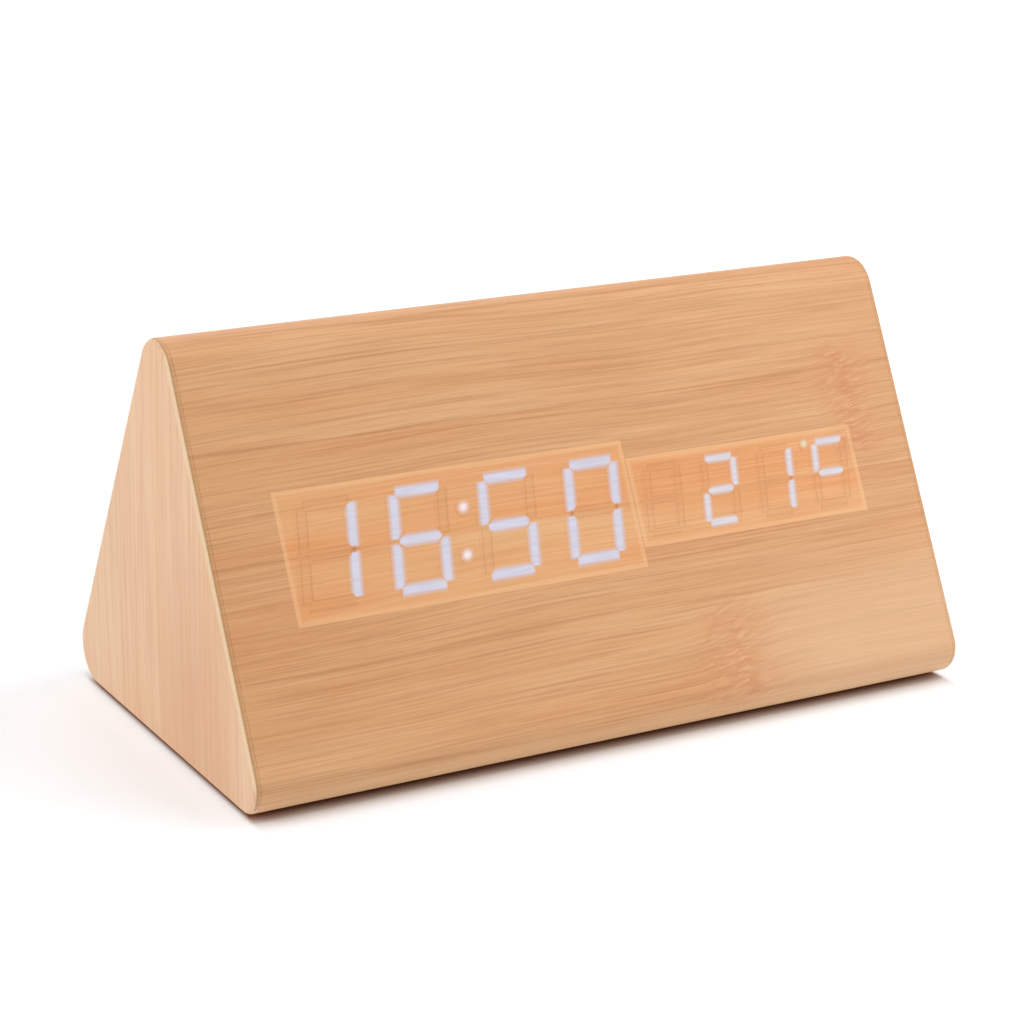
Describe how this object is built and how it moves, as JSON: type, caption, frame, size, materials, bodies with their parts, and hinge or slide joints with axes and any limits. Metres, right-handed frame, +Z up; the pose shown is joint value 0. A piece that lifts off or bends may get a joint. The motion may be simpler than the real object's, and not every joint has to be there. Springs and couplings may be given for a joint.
{
  "type": "digital alarm clock",
  "caption": "Triangular wooden desk clock with a seven-segment time and temperature display in its front face, three rear buttons and a battery box in its base.",
  "frame": {"origin": "middle of the clock's length and depth, on the surface that its feet stand on", "axes": "+X along the clock from its left end to its right end as seen from the front, -Y out of the front, +Z up"},
  "size_m": [0.15, 0.0796, 0.0765],
  "materials": {
    "bamboo_veneer": "satin",
    "end_wood": "satin",
    "window_veneer": "satin",
    "case_board": "matte",
    "light_guide": "satin",
    "white_plastic": "matte",
    "black_plastic": "matte",
    "circuit_board": "satin",
    "foot_rubber": "matte",
    "screw_steel": "satin",
    "contact_steel": "satin",
    "cell_jacket": "gloss",
    "red_wire": "satin",
    "black_wire": "satin",
    "white_wire": "satin"
  },
  "bodies": {
    "casing": {"case_shell": "case_board", "veneer_wrap": "bamboo_veneer", "left_end_panel": "end_wood", "right_end_panel": "end_wood", "base_panel": "case_board", "base_screw_1": "screw_steel", "base_screw_2": "screw_steel", "base_screw_3": "screw_steel", "base_screw_4": "screw_steel", "rubber_foot_1": "foot_rubber", "rubber_foot_2": "foot_rubber", "rubber_foot_3": "foot_rubber", "rubber_foot_4": "foot_rubber", "time_window": "window_veneer", "temperature_window": "window_veneer", "time_light_guide": "light_guide", "temperature_light_guide": "light_guide", "time_reflector": "white_plastic", "temperature_reflector": "white_plastic", "display_board": "circuit_board", "display_screw_1": "screw_steel", "display_screw_2": "screw_steel", "display_screw_3": "screw_steel", "display_screw_4": "screw_steel", "set_switch": "black_plastic", "up_switch": "black_plastic", "down_switch": "black_plastic", "dc_jack": "black_plastic", "main_board": "circuit_board", "board_screw_left": "screw_steel", "board_screw_right": "screw_steel", "board_spacer_left": "white_plastic", "board_spacer_right": "white_plastic", "controller_chip": "black_plastic", "clock_crystal": "contact_steel", "filter_capacitor": "black_plastic", "buzzer": "black_plastic", "microphone": "contact_steel", "temperature_sensor": "black_plastic", "battery_box": "black_plastic", "battery_cell_1": "cell_jacket", "battery_cell_2": "cell_jacket", "battery_cell_3": "cell_jacket", "battery_cell_4": "cell_jacket", "negative_contact": "contact_steel", "positive_contact": "contact_steel", "bridge_contact_1": "contact_steel", "bridge_contact_2": "contact_steel", "bridge_contact_3": "contact_steel", "battery_lead_positive": "red_wire", "battery_lead_negative": "black_wire", "ribbon_cable": "white_wire"},
    "set_button": {"set_button": "black_plastic", "set_plunger": "white_plastic"},
    "up_button": {"up_button": "black_plastic", "up_plunger": "white_plastic"},
    "down_button": {"down_button": "black_plastic", "down_plunger": "white_plastic"},
    "battery_door": {"battery_door": "black_plastic"}
  },
  "joints": [
    {"name": "set_press", "type": "slide", "parent": "casing", "child": "set_button", "axis": [0, -0.8856, -0.4645], "range_m": [0, 0.0005], "stiffness_N_per_m": 500, "springref_m": -0.002},
    {"name": "up_press", "type": "slide", "parent": "casing", "child": "up_button", "axis": [0, -0.8856, -0.4645], "range_m": [0, 0.0005], "stiffness_N_per_m": 500, "springref_m": -0.002},
    {"name": "down_press", "type": "slide", "parent": "casing", "child": "down_button", "axis": [0, -0.8856, -0.4645], "range_m": [0, 0.0005], "stiffness_N_per_m": 500, "springref_m": -0.002},
    {"name": "battery_door_hinge", "type": "hinge", "parent": "casing", "child": "battery_door", "pos_m": [0, 0.0227, 0.0016], "axis": [1, 0, 0], "range_deg": [0, 75]}
  ]
}
